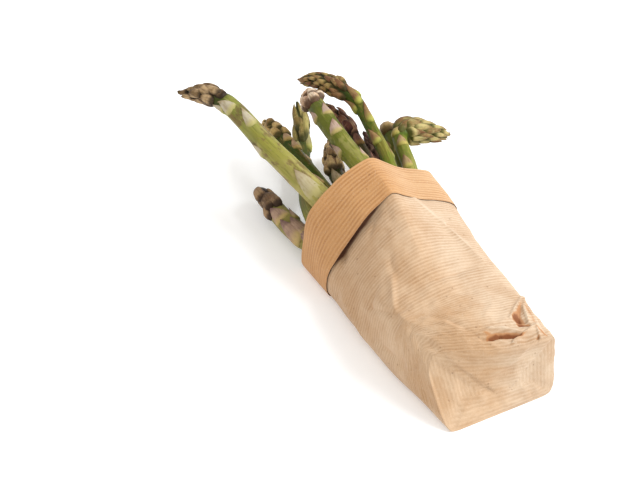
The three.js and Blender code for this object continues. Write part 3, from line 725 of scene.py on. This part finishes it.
# Routes run from the cut end to the tip. Head: length, radius, and how full it stays towards
# the tip. Scales: how many, length, half width, lift off the core, how far their tips stand
# open, and how blunt they are, from 0 to 1. Buds and bracts: distance of the root below the
# head, angle of the root and of the tip from the top (positive towards -Y), length, half width,
# lift.
spears = {
    "spear_01": {
        "route": [(-44, 17, 32.5), (0, 15.5, 33.5), (52, 18.5, 36), (84, 26, 43), (117, 34, 50),
                  (144, 40, 55), (184, 47, 62), (196, 51, 63), (210, 59, 62), (225, 72, 58)],
        "butt": 8.8, "neck": 6.2, "head": (36, 7.8, 2.3), "look": "pale", "slot": "pale_spear",
        "scales": (19, 13, 4.2, 3.5, 1, 0.5),
        "buds": [(-2, -74, -66, 12, 4.6, 3.6), (-5, -14, 0, 13, 4.6, 3.6),
                 (-12, -50, -40, 12, 4.4, 4), (4, -4, 26, 14, 5.4, 2.4)],
        "bracts": [(17, -50, -56, 15, 7.4, 0.9), (9, -124, -92, 12, 6, 0.9),
                   (37, -12, 6, 18, 5.6, 0.8), (57, -118, -96, 13, 6.2, 0.9),
                   (110, -40, -24, 27, 9.4, 0.4), (32, 130, 140, 14, 6.4, 0.8),
                   (72, 120, 110, 17, 7, 0.7), (84, -178, -184, 17, 7, 0.7)],
    },
    "spear_02": {
        "route": [(-56, 3, 20.5), (0, 3, 20.5), (52, 8, 22), (84, 13, 27), (141, 17, 33),
                  (160, 18, 34.5), (180, 18, 34), (204, 17, 29)],
        "butt": 7, "neck": 5.8, "head": (28, 6.8, 2.8), "look": "deep", "slot": "green_spear",
        "scales": (14, 12, 4.4, 3, 0.8, 0.6),
        "buds": [(-8, -12, 10, 11, 4.6, 3.8), (0, 10, 24, 11, 4.8, 3.4),
                 (6, -30, -40, 12, 4.8, 2.8), (8, 44, 30, 10, 4.6, 3)],
        "bracts": [(14, 20, 26, 11, 5.8, 1.6), (24, 36, 30, 11, 5.6, 1.6),
                   (20, -100, -96, 12, 5.6, 1.1), (36, 84, 90, 13, 5.6, 1.1),
                   (62, -24, -20, 14, 5.6, 0.9), (30, 165, 170, 13, 5.6, 1)],
    },
    "spear_03": {
        "route": [(-40, 30.5, 26), (0, 32.5, 27), (52, 29.5, 25.6), (84, 33.5, 26.8),
                  (117, 26, 21), (158, 8, 14), (188, -6, 15), (209, -14, 18), (223, -18, 25)],
        "butt": 5.8, "neck": 4.3, "head": (44, 6.4, 2.4), "look": "slender", "slot": "green_spear",
        "scales": (10, 25, 3.4, 2.4, 1, 0.5),
        "buds": [(-8, -24, -74, 32, 3.4, 3.4), (0, 20, 50, 36, 3.4, 3.6),
                 (4, -70, -84, 26, 3.4, 3.2), (-12, 60, 66, 26, 3.2, 3.4)],
        "bracts": [(9, 70, 30, 22, 4.4, 2.2), (14, -50, -58, 18, 4.4, 1.8),
                   (30, -20, -20, 15, 4.2, 1.2), (50, 140, 140, 14, 4.4, 1)],
    },
    "spear_04": {
        "route": [(-52, -5, 34.5), (0, -2, 42), (52, -2, 52), (84, -1, 60), (115, 0, 63),
                  (138, 0, 66), (155, -1, 67), (175, -6, 59), (191, -12, 48)],
        "butt": 7.7, "neck": 6, "head": (34, 7.8, 3), "look": "green", "slot": "green_spear",
        "scales": (17, 12, 4.4, 3.3, 0.6, 0.75),
        "buds": [(9, -60, -74, 17, 5, 3.6), (10, -14, -14, 13, 5, 3), (5, 34, 40, 11, 4.2, 3.8),
                 (-2, -40, -34, 10, 4, 4), (-1, 10, 14, 10, 4, 3.8), (-3, 60, 54, 11, 4, 4.6),
                 (-9, -12, -8, 9, 3.8, 3.4), (4, -104, -104, 12, 4.6, 3.8)],
        "bracts": [(24, 18, 18, 11, 5.8, 1), (22, -98, -86, 10, 5.8, 1),
                   (42, -14, 8, 13, 6.6, 0.9), (58, -100, -90, 14, 6.4, 1.1),
                   (36, 130, 140, 12, 6, 0.8), (70, 64, 60, 13, 6.2, 0.7)],
    },
    "spear_05": {
        "route": [(-60, -11, 22), (0, -12, 29), (84, -14, 40), (126, -19, 45), (145, -20, 49),
                  (160, -19, 51), (174, -15, 53)],
        "butt": 5.3, "neck": 4, "head": (38, 6.2, 3), "look": "plum", "slot": "purple_spear",
        "scales": (17, 13, 4, 2.8, 0.7, 0.6),
        "buds": [(-1, -20, -28, 13, 4.4, 3)],
        "bracts": [(10, 2, -10, 13, 5.2, 1.9), (18, -90, -80, 12, 4.8, 1.6),
                   (26, 90, 84, 12, 4.8, 1.3), (30, -40, -30, 12, 5, 1.5)],
    },
    "spear_06": {
        "route": [(-52, -18, 35.5), (0, -18, 42), (52, -18, 47.5), (84, -20, 53), (104, -24, 57),
                  (128, -26, 62), (147, -28, 66), (158, -25, 68), (175, -22, 66), (190, -17, 62),
                  (202, -9, 56)],
        "butt": 4.8, "neck": 3.9, "head": (48, 7.2, 3.6), "look": "olive", "slot": "green_spear",
        "scales": (48, 11.5, 2.9, 2.6, 0.6, 0.3),
        "buds": [(4, -98, -104, 13, 4, 3), (-4, 40, 50, 13, 3.8, 3.2)],
        "bracts": [(20, -100, -104, 18, 4, 2.2), (16, -14, 26, 20, 3.8, 2.2),
                   (34, 10, 20, 19, 4.2, 1.8), (10, 60, 60, 17, 3.8, 2.2),
                   (52, -42, -50, 14, 5, 1.6), (34, 150, 150, 14, 4.8, 1.4),
                   (64, 110, 104, 13, 4.8, 1.2)],
    },
    "spear_07": {
        "route": [(-66, -23, 22), (0, -24, 25), (84, -24.5, 31), (124, -31, 34), (137, -32, 37),
                  (151, -33, 40)],
        "butt": 5.2, "neck": 4.2, "head": (34, 5.4, 2.6), "look": "purple", "slot": "purple_spear",
        "scales": (15, 13, 3.4, 2.6, 1.2, 0.3),
        "buds": [(2, -74, -76, 22, 3.8, 2.8)],
        "bracts": [(6, -30, -40, 16, 4.8, 1.8), (18, 110, 110, 12, 4.4, 1.2)],
    },
    "spear_08": {
        "route": [(-62, -26.5, 8), (0, -28, 10), (52, -32, 14), (84, -36, 26.5), (112, -45, 30),
                  (128, -49, 32), (137, -50, 34), (146, -51.5, 34), (154, -55.5, 29.5),
                  (161, -60, 22)],
        "butt": 5.5, "neck": 4.6, "head": (23, 6.2, 3.4), "look": "tan", "slot": "green_spear",
        "scales": (8, 13, 5.4, 2, 0.1, 0.9),
        "buds": [(2, -30, -26, 15, 7.4, 2.6), (1, -110, -104, 13, 5.4, 2.2),
                 (1, 52, 50, 13, 5.4, 2.2)],
        "bracts": [(15, -98, -100, 11, 4.8, 1.5), (22, -10, -12, 12, 5, 1.4),
                   (38, 40, 38, 13, 5, 1)],
    },
    "spear_09": {
        "route": [(-60, -29, 34), (0, -30.5, 36), (52, -33, 38), (84, -36.5, 40), (105, -43, 41),
                  (124, -48, 42.5), (130.5, -52, 43.5), (132.5, -58, 43), (130.5, -66.5, 41),
                  (128.5, -78.5, 37), (127, -91, 31)],
        "butt": 5.3, "neck": 4.7, "head": (43, 9.2, 2.2), "look": "sunny", "slot": "green_spear",
        "scales": (32, 15, 3.7, 3.2, 1, 0.1),
        "buds": [(-3, 10, 8, 12, 5, 3.4), (0, -60, -48, 12, 4.8, 4.4), (-2, 60, 60, 12, 5, 3.6),
                 (-8, -44, -38, 13, 4.4, 3.7)],
        "bracts": [(4, -54, -50, 12, 5.8, 1.6), (15, 0, -6, 10, 6.4, 1.5),
                   (38, -30, -30, 14, 6, 1.2)],
    },
    "spear_10": {
        "route": [(-64, -8.5, 8.5), (0, -8, 10), (84, -4, 22), (124, -2, 25), (140, -5, 27),
                  (165, -14, 28)],
        "butt": 6.5, "neck": 5, "head": (34, 6.8, 2.8), "look": "dusky", "slot": "green_spear",
        "scales": (22, 9.5, 3.3, 2.9, 0.5, 0.75),
        "buds": [(-9, 0, -20, 12, 3.8, 3.2), (1, -18, -34, 12, 4.2, 3.4), (0, 40, 40, 10, 4, 3.2),
                 (2, -72, -74, 10, 3.8, 3)],
        "bracts": [(14, -34, -26, 14, 6.2, 1.8), (16, 90, 84, 12, 5.6, 1.6),
                   (26, 20, 20, 12, 5.8, 1.3)],
    },
    "spear_11": {
        "route": [(-60, 26.5, 10), (0, 29, 10.4), (52, 31, 11.4), (84, 34, 11.6), (100, 39, 11.5),
                  (119, 42, 12), (157, 45, 14)],
        "butt": 8.5, "neck": 6.6, "head": (26, 7, 4.5), "look": "blush", "slot": "pale_spear",
        "scales": (8, 14, 4.8, 2.4, 0.2, 0.9),
        "buds": [(-9, -52, -44, 14, 5, 3.4), (2, -46, -38, 13, 4.8, 3.4), (4, 6, 18, 15, 5, 3.6),
                 (6, -92, -84, 13, 4.4, 2.8)],
        "bracts": [(16, -38, -48, 15, 9.4, 1.3), (37, -66, -44, 22, 10, 1.6),
                   (39, 4, 0, 21, 9.6, 1.6), (52, -24, -16, 22, 10, 1.5),
                   (20, 70, 60, 14, 7.4, 1.4), (56, -110, -104, 16, 8, 1.4)],
    },
    "spear_12": {
        "route": [(-60, 9.5, 7.5), (0, 10, 7.6), (52, 9.5, 8.8), (84, 8, 9.2), (130, -7, 10),
                  (178, -24, 12)],
        "butt": 5.8, "neck": 4.6, "head": (36, 5.8, 2.4), "look": "olive", "slot": "green_spear",
        "scales": (24, 12, 3.6, 2.6, 0.6, 0.4),
        "buds": [(0, -30, -30, 12, 4.2, 2.8)],
        "bracts": [(10, 30, 26, 13, 5.2, 1.6), (24, -100, -96, 12, 5, 1.3),
                   (46, 80, 80, 12, 5, 1.1)],
    },
}

# Outlines from root to tip, at the places in "v": half width, height of the back, and how much
# of that height the edges keep. "sink" sets the edges into the stem, in mm.
scaleShape = {
    "v": np.array([0, 0.07, 0.2, 0.36, 0.54, 0.72, 0.88, 1]),
    "pointed": (np.array([0.7, 0.86, 0.98, 1, 0.86, 0.6, 0.3, 0.02]),
                np.array([0, 0.42, 0.78, 0.96, 1, 0.92, 0.78, 0.62])),
    "blunt": (np.array([0.6, 0.84, 1, 1.02, 0.98, 0.86, 0.6, 0.04]),
              np.array([0, 0.5, 0.86, 1, 1, 0.92, 0.66, 0.2])),
    "bract": (np.array([1.1, 1.1, 1, 0.82, 0.6, 0.38, 0.18, 0.02]),
              np.array([0.1, 0.6, 0.95, 1, 0.9, 0.75, 0.6, 0.5])),
    "edge": np.array([0, 0, 0, 0.05, 0.14, 0.3, 0.6, 0.95]),
    "sink": np.array([0.5, 0.4, 0.3, 0.22, 0.15, 0.08, 0, 0]),
    "across": np.array([-1, -0.75, -0.4, 0, 0.4, 0.75, 1, 0.6, 0, -0.6]),
    "outerCount": 7,
    "widest": math.radians(78),
}

# How the scales of a head change from its foot to its tip, and how much they vary at random: two
# numbers are the limits of a share, and one number is how far either way, in degrees for turns.
headShape = {
    "turn": 137.5,  # degrees from each scale to the next
    "lengths": (1.1, 0.6), "halves": (1.05, 0.55), "lifts": (1, 0.5),
    "lengthSpread": (0.88, 1.12), "halfSpread": (0.9, 1.1), "liftSpread": (0.65, 1.3),
    "openSpread": (0.3, 1.7), "bluntSpread": 0.2, "turnSpread": 13, "tipSpread": 14,
    "overlap": 2.0,  # how far below the head its first scales start
}

stemShape = {
    "pathSteps": 60,
    "ringStep": 1.8,
    "headRings": 22,
    "sides": 44,
    "bevel": 0.97,
    "grooves": [(9, 0.08, 1.0), (14, 0.06, 2.1)],  # how many, depth, turn for each spear
    "waves": 0.35,
    "swelling": 0.45,  # under each bract's root
}


def spearPath(route):
    # an open Catmull-Rom curve through the route, as places and directions by length
    route = np.array(route, float)
    route = join([2 * route[0] - route[1]], route, [2 * route[-1] - route[-2]])
    t = np.linspace(0, 1, stemShape["pathSteps"], endpoint=False)[None, :, None]
    near = [route[k:len(route) - 3 + k, None, :] for k in range(4)]
    places, slopes = cubic(*near, t)
    places = join(places.reshape(-1, 3), route[-2:-1])
    slopes = join(slopes.reshape(-1, 3), slopes[-1, -1:])
    return distanceAlong(places), places, unit(slopes)


def spearSpace(spec, seed):
    # the spear's own coordinates: along the route, round it from the top, out from its axis
    lengths, places, directions = spearPath(spec["route"])
    full, (headLength, headRadius, fullness) = lengths[-1], spec["head"]
    stem, lift = full - headLength, spec["scales"][3]

    def away(angle, other):
        # the smaller turn between two angles, the other one in degrees
        return np.abs((angle - math.radians(other) + math.pi) % (2 * math.pi) - math.pi)

    def radius(s):
        # the stem thins towards the neck; the head's core is its outline less the scales' lift
        bare = mix(spec["butt"], spec["neck"], np.clip(s / stem, 0, 1) ** 2)
        t = np.clip((s - stem) / headLength, 0, 1)
        core = headRadius * (1 - t ** fullness) ** 0.8 - 0.9 * lift * mix(1, 0.45, t)
        return mix(bare, np.maximum(0.7, core), ease(0, 0.2, t))

    def skin(s, angle):
        # the radius with shallow grooves along it, slow waves and a low swelling at each bract
        reach = radius(s)
        for count, depth, turn in stemShape["grooves"]:
            reach = reach + depth * np.cos(count * angle + turn * seed)
        waves = softNoise(s / 20 + seed * 5.1, np.cos(angle) * 1.3, seed)
        reach = reach + stemShape["waves"] * waves
        for below, root, *_ in spec["bracts"]:
            swelling = bell((s - stem + below - 1.5) / 3, away(angle, root) / 0.9)
            reach = reach + stemShape["swelling"] * swelling
        return reach

    def axilShade(s, angle):
        # how close a place lies above a bract's tip, where painted shade darkens the skin
        close = 0.0
        for below, _, tip, length, *_ in spec["bracts"]:
            above = s - stem + below - length * 0.75
            beside = np.exp(-np.maximum(above, 0) / 7 - (away(angle, tip) / 0.9) ** 2)
            close = np.maximum(close, ease(-2, 1, above) * beside)
        return close

    def place(s, angle, reach):
        # the route's place at s, and from it the reach in the direction of the angle; past the
        # tip the route runs straight on
        s, angle, reach = np.broadcast_arrays(s, angle, reach)
        along = unit(together(*(np.interp(s, lengths, values) for values in directions.T)))
        middle = together(*(np.interp(s, lengths, values) for values in places.T))
        middle = middle + along * np.maximum(s - full, 0)[..., None]
        across = unit(np.array([0.0, 0.0, 1.0]) - along * along[..., 2:3])
        side = np.cross(along, across)
        aim = across * np.cos(angle)[..., None] + side * np.sin(angle)[..., None]
        return middle + np.maximum(reach, 0.05)[..., None] * aim

    return {"full": full, "stem": stem, "skin": skin, "axilShade": axilShade, "place": place}


def stemPart(space, seed):
    # rings along the stem and the head's core, the first one drawn in as the cut's bevel
    stem, full, sides = space["stem"], space["full"], stemShape["sides"]
    head = np.linspace(stem, full - 0.07 * (full - stem), stemShape["headRings"])
    s = join(np.arange(0, stem, stemShape["ringStep"]), head)[:, None]
    angle = (2 * math.pi * np.arange(sides) / sides)[None, :]
    reach = space["skin"](s, angle)
    s, reach = join([[0.0]], s), join(reach[:1], reach)
    bevel = np.where(np.arange(len(s)) > 0, 1.0, stemShape["bevel"])[:, None]
    points = space["place"](s, angle, reach * bevel)
    tip = space["place"](s[-1, 0] + 0.6, np.array(0.0), np.array(0.05))
    quads, triangles = tubeFaces(len(points), sides)
    straight = join(unrolled(reach, angle, s), [[0, 0, 0], [0, 0, full]])
    leaf = np.zeros((len(straight), 3))
    leaf[:-2, 0] = space["axilShade"](s, angle).ravel()
    leaf[:, 2] = seed / len(spears)
    points = join(points.reshape(-1, 3), [points[0].mean(axis=0), tip])
    return points, quads, triangles, straight, leaf


def scalePart(space, scales, seeds, bracts=False):
    # many scales at once: each is a thin shell, plump along its back, whose half width and
    # height follow scaleShape from root to tip, wrapped round the spear
    start, angle, tipAngle, length, half, lift, openTip, blunt = (a[:, None, None] for a in scales)
    v, edge, sink = (scaleShape[name][None, :, None] for name in ("v", "edge", "sink"))
    w = scaleShape["across"][None, None, :]
    pointed, rounded, bract = ([a[None, :, None] for a in scaleShape[name]]
                               for name in ("pointed", "blunt", "bract"))
    width, back = bract if bracts else [mix(p, r, blunt) for p, r in zip(pointed, rounded)]
    s = start + length * v + 0.07 * length * w ** 2 * (1 - v) ** 2 * bracts
    widest = half * width / (space["skin"](start + length * v, angle) + 0.4 * lift)
    around = angle + (tipAngle - angle) * v ** 1.3 + np.minimum(widest, scaleShape["widest"]) * w
    skin = space["skin"](s, around)
    ridge = 1 - np.abs(w) ** mix(1.9, 2.8, blunt)
    height = lift * back
    out = height * (edge + (1 - edge) * ridge) - sink * (1 - ridge) + openTip * v ** 3
    thick = 0.22 + 0.45 * height * (1 - np.abs(w)) * (1 - 0.8 * v)
    inner = np.arange(w.size) >= scaleShape["outerCount"]
    out = np.where(inner, out - thick, out)
    points = space["place"](s, around, skin + out)
    count, rows, loop = points.shape[:3]
    base = (np.arange(count) * rows * loop)[:, None, None]
    # each end is closed between the outer and the inner line
    endQuads = np.array([[2, 3, 8, 9], [4, 5, 7, 8]])
    endTriangles = np.array([[0, 1, 9], [1, 2, 9], [3, 4, 8], [5, 6, 7]])
    endQuads, endTriangles = (join(faces[:, ::-1], faces + (rows - 1) * loop)
                              for faces in (endQuads, endTriangles))
    quads = join(*((faces[None] + base).reshape(-1, 4)
                   for faces in (gridFaces(rows, loop), endQuads)))
    triangles = (endTriangles[None] + base).reshape(-1, 3)
    straight = unrolled(skin + out, around, s)
    leaf = together(v, w, seeds[:, None, None]).reshape(-1, 3)
    return points.reshape(-1, 3), quads, triangles, straight, leaf


def headScales(space, spec, rng):
    # scales start on a spiral of equal turns, closer together and smaller towards the tip
    shape, (count, length, half, lift, openTip, blunt) = headShape, spec["scales"]
    t = (np.arange(count) + 0.2) / count

    def spread(name):
        # one random value for each scale, between two limits or as far either way
        limits = shape[name]
        return rng.uniform(*(limits if isinstance(limits, tuple) else (-limits, limits)), count)

    lengths = length * mix(*shape["lengths"], t) * spread("lengthSpread")
    reach = spec["head"][0] + shape["overlap"]
    start = space["stem"] - shape["overlap"] + reach * t ** 0.9 - lengths * t
    angle = np.radians(np.arange(count) * shape["turn"] + spread("turnSpread"))
    tipAngle = angle + np.radians(spread("tipSpread"))
    halves = half * mix(*shape["halves"], t) * spread("halfSpread")
    lifts = lift * mix(*shape["lifts"], t) * spread("liftSpread")
    tips = openTip * spread("openSpread")
    blunts = np.clip(blunt + spread("bluntSpread"), 0, 1)
    scales = (start, angle, tipAngle, lengths, halves, lifts, tips, blunts)
    return scalePart(space, scales, rng.uniform(0, 1, count))


def placedScales(space, spec, rng, kind):
    # buds or bracts where the table puts them: each starts its distance below the head
    below, root, tip, length, half, lift = np.array(spec[kind], float).T
    openTip = np.full(len(below), 0.3)
    blunt = np.full(len(below), spec["scales"][5] if kind == "buds" else 0.0)
    scales = (space["stem"] - below, np.radians(root), np.radians(tip), length, half, lift,
              openTip, blunt)
    return scalePart(space, scales, rng.uniform(0, 1, len(below)), bracts=kind == "bracts")


def buildSpear(node, spec, seed, materials):
    # stem, head scales, buds and bracts, one after another in one mesh; the first number of
    # each part is its material's
    rng = np.random.default_rng(100 + seed)
    space = spearSpace(spec, seed)
    slots, parts = zip((0, stemPart(space, seed)), (1, headScales(space, spec, rng)),
                       (1, placedScales(space, spec, rng, "buds")),
                       (2, placedScales(space, spec, rng, "bracts")))
    offsets = np.cumsum([0] + [len(part[0]) for part in parts])
    points, straight, leaf = (join(*(part[k] for part in parts)) for k in (0, 3, 4))
    quads, triangles = (join(*(part[k] + offset for part, offset in zip(parts, offsets)))
                        for k in (1, 2))
    materialIndex = join(*(np.full(len(part[k]), slot) for k in (1, 2)
                           for part, slot in zip(parts, slots)))
    layers = {
        "straight": straight * mm,
        "leaf": leaf,
        "rise": np.clip(straight[:, 2] / space["stem"], 0, 1.2),
        "neck": np.exp(-np.abs(straight[:, 2] - space["stem"]) / 8),
    }
    name = node.replace("_0", "").replace("_", "")
    piece = makePiece(name, points, quads, triangles, materials, layers, materialIndex)
    piece.data.set_sharp_from_angle(angle=math.radians(70))
    return piece


# Colours of each kind of spear. Stem: low down, high up, patches, streaks, neck (also the painted
# shade above each bract). Scales: root (also the painted shade at their roots, between them and on
# the head's core), middle, tip, rim. Bracts: foot, blade, tip.
looks = {
    "pale": {"stem": "#bdae68 #888c3c #a09a42 #7a5c40 #343e0b",
             "scale": "#281c10 #9a7c54 #5a4128 #d6b68a", "bract": "#c4b975 #c8bda2 #a08a66"},
    "green": {"stem": "#8a8a32 #5d6419 #707421 #9a9451 #303f0e",
              "scale": "#4a2c18 #e8c298 #a4785a #ffecd0", "bract": "#b8a562 #bfa592 #8e6e5a"},
    "deep": {"stem": "#5f5c14 #364806 #455608 #5c4a17 #2c3a06",
             "scale": "#3d3a14 #bb975c #7b5c32 #e1c07c", "bract": "#bea05b #c0a07c #86603f"},
    "dusky": {"stem": "#666122 #485013 #545a19 #5e4a24 #343a0e",
              "scale": "#4a3c26 #cca46e #8a684a #f2d294", "bract": "#c8b367 #c0ac8a #85704e"},
    "slender": {"stem": "#84823a #505a1c #606c22 #7e6e33 #424e19",
                "scale": "#3e4016 #9a8c48 #74582c #c0b06c", "bract": "#bbb75c #b0a872 #8a7846"},
    "olive": {"stem": "#727c1e #40500d #5a6818 #80742d #33430a",
              "scale": "#363410 #a47a50 #7a4c36 #c2aa68", "bract": "#b4b252 #9a7c4e #7c4e3c"},
    "sunny": {"stem": "#888f33 #747c27 #868c33 #948f42 #4c6016",
              "scale": "#565a26 #a88a54 #744a2e #d4c684", "bract": "#c2b35d #b4996a #8e684c"},
    "tan": {"stem": "#8d9037 #757c27 #83882c #9a9048 #4c5a19",
            "scale": "#5e4a22 #9c7e4e #705434 #b89c66", "bract": "#b8ae58 #b09460 #8e6c46"},
    "purple": {"stem": "#5a521f #443e16 #52501b #483021 #343613",
               "scale": "#241610 #604030 #36201c #8c705a", "bract": "#a07c48 #8e6452 #54302c"},
    "plum": {"stem": "#5a521f #443e16 #52501b #483021 #343613",
             "scale": "#2c1a14 #9b614c #57302b #c79f79", "bract": "#a07c48 #8e6452 #54302c"},
    "blush": {"stem": "#b4a664 #9c9148 #a49654 #86664e #646424",
              "scale": "#35251a #88684a #523d2e #bc9a72", "bract": "#ccb072 #b89880 #7c5f5a"},
}
looks = {name: {part: [fromHex(text) for text in line.split()] for part, line in look.items()}
         for name, look in looks.items()}
fleshFinish = {"Subsurface Weight": 0.04, "Subsurface Scale": 0.003, "Specular IOR Level": 0.15,
               "Subsurface Radius": (0.6, 1.0, 0.3)}


def stemSkin(look):
    # greener with height, with patches, blotched streaks and threads along it, pale streaks that
    # are partly waxy bloom and partly painted highlight, darker at the neck, painted shade above
    # each bract, and the head's core painted dark as shade between its scales
    low, high, patch, streak, neckColour = looks[look]["stem"]
    foot, _, fleckColour = looks[look]["bract"]
    g = Graph(look + "Stem")
    straight = g.vector("straight")
    rise, neck = g.numbers("rise", "neck")
    axilShade = g.parts(g.vector("leaf"))[0]
    threads = g.noise(straight, 900, 3, 0.6, along=0.08)
    broad = g.noise(straight, 150, along=0.2)
    blotch = g.noise(straight, 120, 4, 0.68, along=0.45)
    colour = g.over(
        low,
        (high, g.between(rise + broad * 0.5 - 0.25, 0.55, 0.95)),
        (patch, g.between(broad, 0.42, 0.62, 0, 0.75)),
        (streak, g.between(blotch, 0.48, 0.58, 0, 0.7)),
        (neckColour, g.between(threads, 0.5, 0.75, 0, 0.4)),
        # pale streaks along the stem: partly waxy bloom, partly painted highlight
        (foot, g.between(threads * 0.6 + broad * 0.4, 0.44, 0.34, 0, 0.45)),
        (neckColour, g.between(neck, 0.35, 0.8, 0, 0.9)),
        # painted shade above each bract
        (neckColour, axilShade * 0.5),
        (fleckColour, g.between(g.noise(straight, 620), 0.64, 0.72) * 0.6),
        # the head's core painted dark in the scales' root colour: painted shade between the scales
        (looks[look]["scale"][0], g.between(rise, 1, 1.03)),
    )
    constants = {**fleshFinish, "Coat Weight": 0.04, "Coat Roughness": 0.35}
    return g.finish(colour, 0.4 + threads * 0.2, constants, (threads * 0.5 + blotch, 0.45, 0.0004))


def scaleSkin(look):
    # painted shade at the root and between the scales, paler along the rim towards the tip
    root, middle, tip, rim = looks[look]["scale"]
    g = Graph(look + "Scales")
    straight = g.vector("straight")
    v, w, seed = g.parts(g.vector("leaf"))
    veins = g.noise(straight, 1100, 2, 0.6, along=0.15)
    patch = g.noise(straight, 240, 3, 0.6)
    colour = g.over(
        middle,
        (tip, g.between(patch * 0.9 + seed * 0.4, 0.5, 0.85, 0, 0.8)),
        (rim, g.between(patch * 0.9 - seed * 0.35, 0.1, 0.42, 0, 0.7)),
        (tip, g.between(v + patch * 0.3, 0.75, 1.1, 0, 0.8)),
        (rim, g.between(abs(w), 0.5, 0.8, 0, 0.45) * g.between(v, 0.4, 0.7)),
        (root, g.between(veins, 0.46, 0.7, 0, 0.45)),
        # painted shade between the scales and at their roots, where neighbours overlap them
        (root, g.between(abs(w), 0.6, 0.95, 0, 0.92) * g.between(v, 1, 0.55)),
        (root, g.between(v, 0.38, 0.12, 0, 0.9)),
    )
    return g.finish(colour, 0.46 + veins * 0.2, fleshFinish, (veins, 0.5, 0.0003))


def bractSkin(look):
    # from the foot's colour to the blade's and the tip's, greener low on the spear, with veins
    low, high, _, _, neckColour = looks[look]["stem"]
    foot, blade, tip = looks[look]["bract"]
    g = Graph(look + "Bracts")
    straight = g.vector("straight")
    rise, = g.numbers("rise")
    v, w, _ = g.parts(g.vector("leaf"))
    veins = g.noise(straight, 1000, 2, 0.6, along=0.12)
    patch = g.noise(straight, 220)
    colour = g.over(
        blade,
        (tip, g.between(veins * 0.6 + patch * 0.5, 0.46, 0.72, 0, 0.6)),
        (low, g.between(rise, 0.75, 0.5, 0, 0.6)),
        (foot, g.between(v + patch * 0.2, 0.52, 0.2, 0, 0.9)),
        (high, g.between(v + veins * 0.2 - abs(w) * 0.2, 0.2, 0, 0, 0.65)),
        (tip, g.between(v + patch * 0.3, 0.78, 1.1, 0, 0.85)),
        (tip, g.between(abs(w), 0.75, 1, 0, 0.35)),
        (neckColour, g.between(v, 0.03, 0, 0, 0.4)),
    )
    return g.finish(colour, 0.48 + veins * 0.2, fleshFinish, (veins, 0.35, 0.0002))


spearSkins = {look: [stemSkin(look), scaleSkin(look), bractSkin(look)] for look in looks}
for seed, (node, spec) in enumerate(spears.items(), start=1):
    spear = buildSpear(node, spec, seed, spearSkins[spec["look"]])
    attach(spear, "root")
    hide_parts(node)
print("spears:", len(spears))


studio = {
    "floor": (0.86, 0.86, 0.86), "floorGlow": 0.26,
    "floorSize": 3000, "floorSquares": 8, "floorTop": -0.05,  # just under the bag
    "sky": (1, 0.975, 0.945), "skyStrength": 0.94,
    "key": {"place": (-0.55, -1.15, 1.35), "target": (0.05, 0, 0.03), "size": 0.9,
            "power": 33, "colour": (0.95, 1, 1.07)},
    "camera": {"place": (-0.5712, 0.3695, 0.6723), "target": (0.0729, 0.0395, 0.0300),
               "lens": 85, "sensor": 36, "clip": 20},
}


def buildFloor():
    # a wide flat sheet of squares: every pair of x and y from one row of places
    squares = studio["floorSquares"]
    side = np.linspace(-studio["floorSize"], studio["floorSize"], squares + 1)
    x, y = np.meshgrid(side, side, indexing="ij")
    i, j = np.meshgrid(np.arange(squares), np.arange(squares), indexing="ij")
    here = (i * (squares + 1) + j).ravel()
    quads = together(here, here + squares + 1, here + squares + 2, here + 1)
    g = Graph("floorPaint")
    shade = g.noise(g.place(), 3)
    colour = g.blend(studio["floor"], tuple(0.985 * c for c in studio["floor"]), shade)
    glow = {"Emission Color": studio["floor"], "Emission Strength": studio["floorGlow"]}
    material = g.finish(colour, 0.7 + shade * 0.1, {"Specular IOR Level": 0.2, **glow})
    points = together(x, y, studio["floorTop"]).reshape(-1, 3)
    return makePiece("floor", points, quads, np.zeros((0, 3)), [material], {})


buildFloor()
world = bpy.data.worlds.new("softSky")
world.use_nodes = True
sky = world.node_tree.nodes["Background"].inputs
sky["Color"].default_value = (*studio["sky"], 1)
sky["Strength"].default_value = studio["skyStrength"]
bpy.context.scene.world = world

light, view = studio["key"], studio["camera"]
key = bpy.data.lights.new("keyLight", "AREA")
key.size, key.energy, key.color = light["size"], light["power"], light["colour"]
addObject("keyLight", key, light["place"], light["target"])

lens = bpy.data.cameras.new("camera")
lens.lens, lens.sensor_width, lens.clip_end = view["lens"], view["sensor"], view["clip"]
camera = addObject("camera", lens, view["place"], view["target"])
bpy.context.scene.camera = camera
bpy.context.scene.view_settings.view_transform = "Standard"
print("floor, light and camera")
